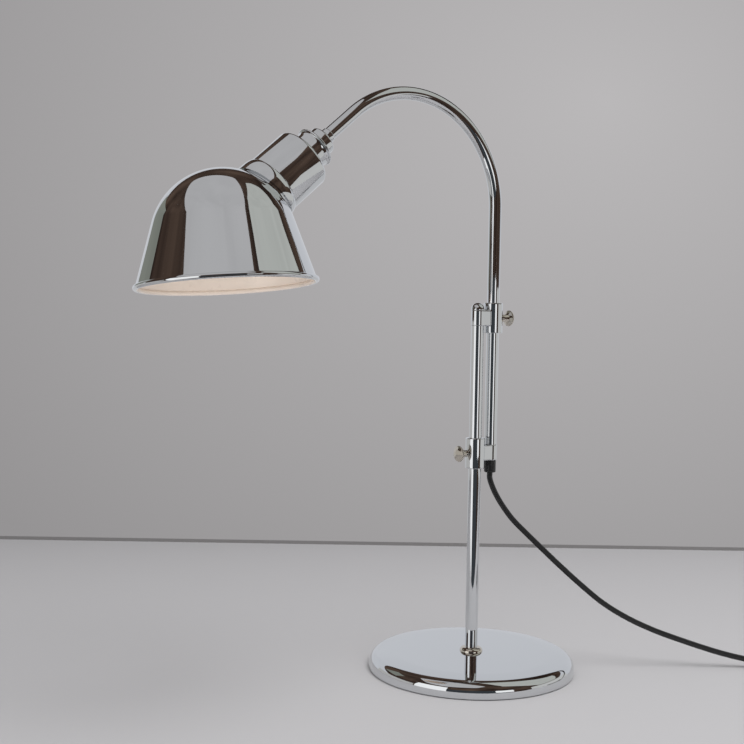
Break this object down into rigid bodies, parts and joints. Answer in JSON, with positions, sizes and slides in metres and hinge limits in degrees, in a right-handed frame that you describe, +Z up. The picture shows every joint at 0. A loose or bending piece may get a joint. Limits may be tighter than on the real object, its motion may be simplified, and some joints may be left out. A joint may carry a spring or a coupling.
{
  "type": "gooseneck desk lamp",
  "caption": "Chrome desk lamp: a rigid bent neck slides beside a post in thumbscrew clamps over a round weighted base, and carries a swivelling bell shade; corded rocker switch and plug.",
  "frame": {"origin": "centre of the round base, on the table under it", "axes": "+Z up along the post; the neck reaches towards -X, in the XZ plane; the cord leaves towards +X and -Y"},
  "size_m": [0.7046, 0.3782, 0.545],
  "materials": {
    "chrome_plate": "polished chrome plate on steel and brass",
    "chrome_bell": "polished chrome outside, warm white enamel inside",
    "warm_nickel": "polished nickel plate",
    "grey_iron": "rough cast",
    "zinc_steel": "zinc plated",
    "brass_bare": "bare turned brass",
    "base_rubber": "matte",
    "black_pvc": "satin flexible sheath",
    "black_moulding": "moulded, satin",
    "porcelain": "glazed white",
    "copper_core": "tinned copper strands",
    "bulb_shell": "spun aluminium",
    "frosted_glass": "inside frosted",
    "pin_nickel": "nickel plated brass"
  },
  "bodies": {
    "base": {"base_cover": "chrome_plate", "base_weight": "grey_iron", "base_pad": "base_rubber", "base_washer": "zinc_steel", "base_nut": "zinc_steel", "post_stud": "zinc_steel", "foot_ring": "warm_nickel", "post": "chrome_plate", "upper_clamp": "chrome_plate", "post_cap": "chrome_plate", "cord_link": "black_pvc", "cord_coil": "black_pvc", "cord_tail": "black_pvc", "coil_tie": "black_pvc", "switch_base": "black_moulding", "switch_cover": "black_moulding", "switch_contacts": "brass_bare", "switch_screws": "zinc_steel", "plug_body": "black_moulding", "plug_pins": "pin_nickel"},
    "upper_screw": {"upper_thumbscrew": "warm_nickel"},
    "neck": {"lower_clamp": "chrome_plate", "neck_tube": "chrome_plate", "neck_ferrule": "chrome_plate", "swivel_nipple": "brass_bare", "swivel_nut": "brass_bare", "cord_grommet": "black_pvc", "inner_lead": "black_pvc", "cord": "black_pvc"},
    "lower_screw": {"lower_thumbscrew": "warm_nickel"},
    "head": {"holder_cap": "chrome_plate", "holder_flange": "chrome_plate", "holder_neck": "chrome_plate", "holder_cup": "chrome_plate", "shade_ring": "chrome_plate", "shade": "chrome_bell", "socket_body": "porcelain", "screw_shell": "brass_bare", "centre_contact": "brass_bare", "terminal_screws": "brass_bare", "lead_tails": "copper_core", "bulb_cap": "bulb_shell", "bulb_glass": "frosted_glass"},
    "rocker": {"switch_rocker": "black_moulding"}
  },
  "joints": [
    {"name": "height_slide", "type": "slide", "parent": "base", "child": "neck", "axis": [0, 0, 1], "range_m": [-0.085, 0.1], "deforming": ["cord"]},
    {"name": "head_swivel", "type": "hinge", "parent": "neck", "child": "head", "pos_m": [-0.17119, 0, 0.48995], "axis": [-0.7547, 0, -0.6561], "range_deg": [-150, 150]},
    {"name": "upper_thumbscrew_turn", "type": "hinge", "parent": "base", "child": "upper_screw", "pos_m": [0.0185, 0, 0.337], "axis": [1, 0, 0], "range_deg": [0, 360]},
    {"name": "lower_thumbscrew_turn", "type": "hinge", "parent": "neck", "child": "lower_screw", "pos_m": [0, 0, 0.208], "axis": [-1, 0, 0], "range_deg": [0, 360]},
    {"name": "rocker_tilt", "type": "hinge", "parent": "base", "child": "rocker", "pos_m": [0.29, -0.1684, 0.0126], "axis": [-0.527, -0.8499, 0], "range_deg": [0, 14]}
  ]
}
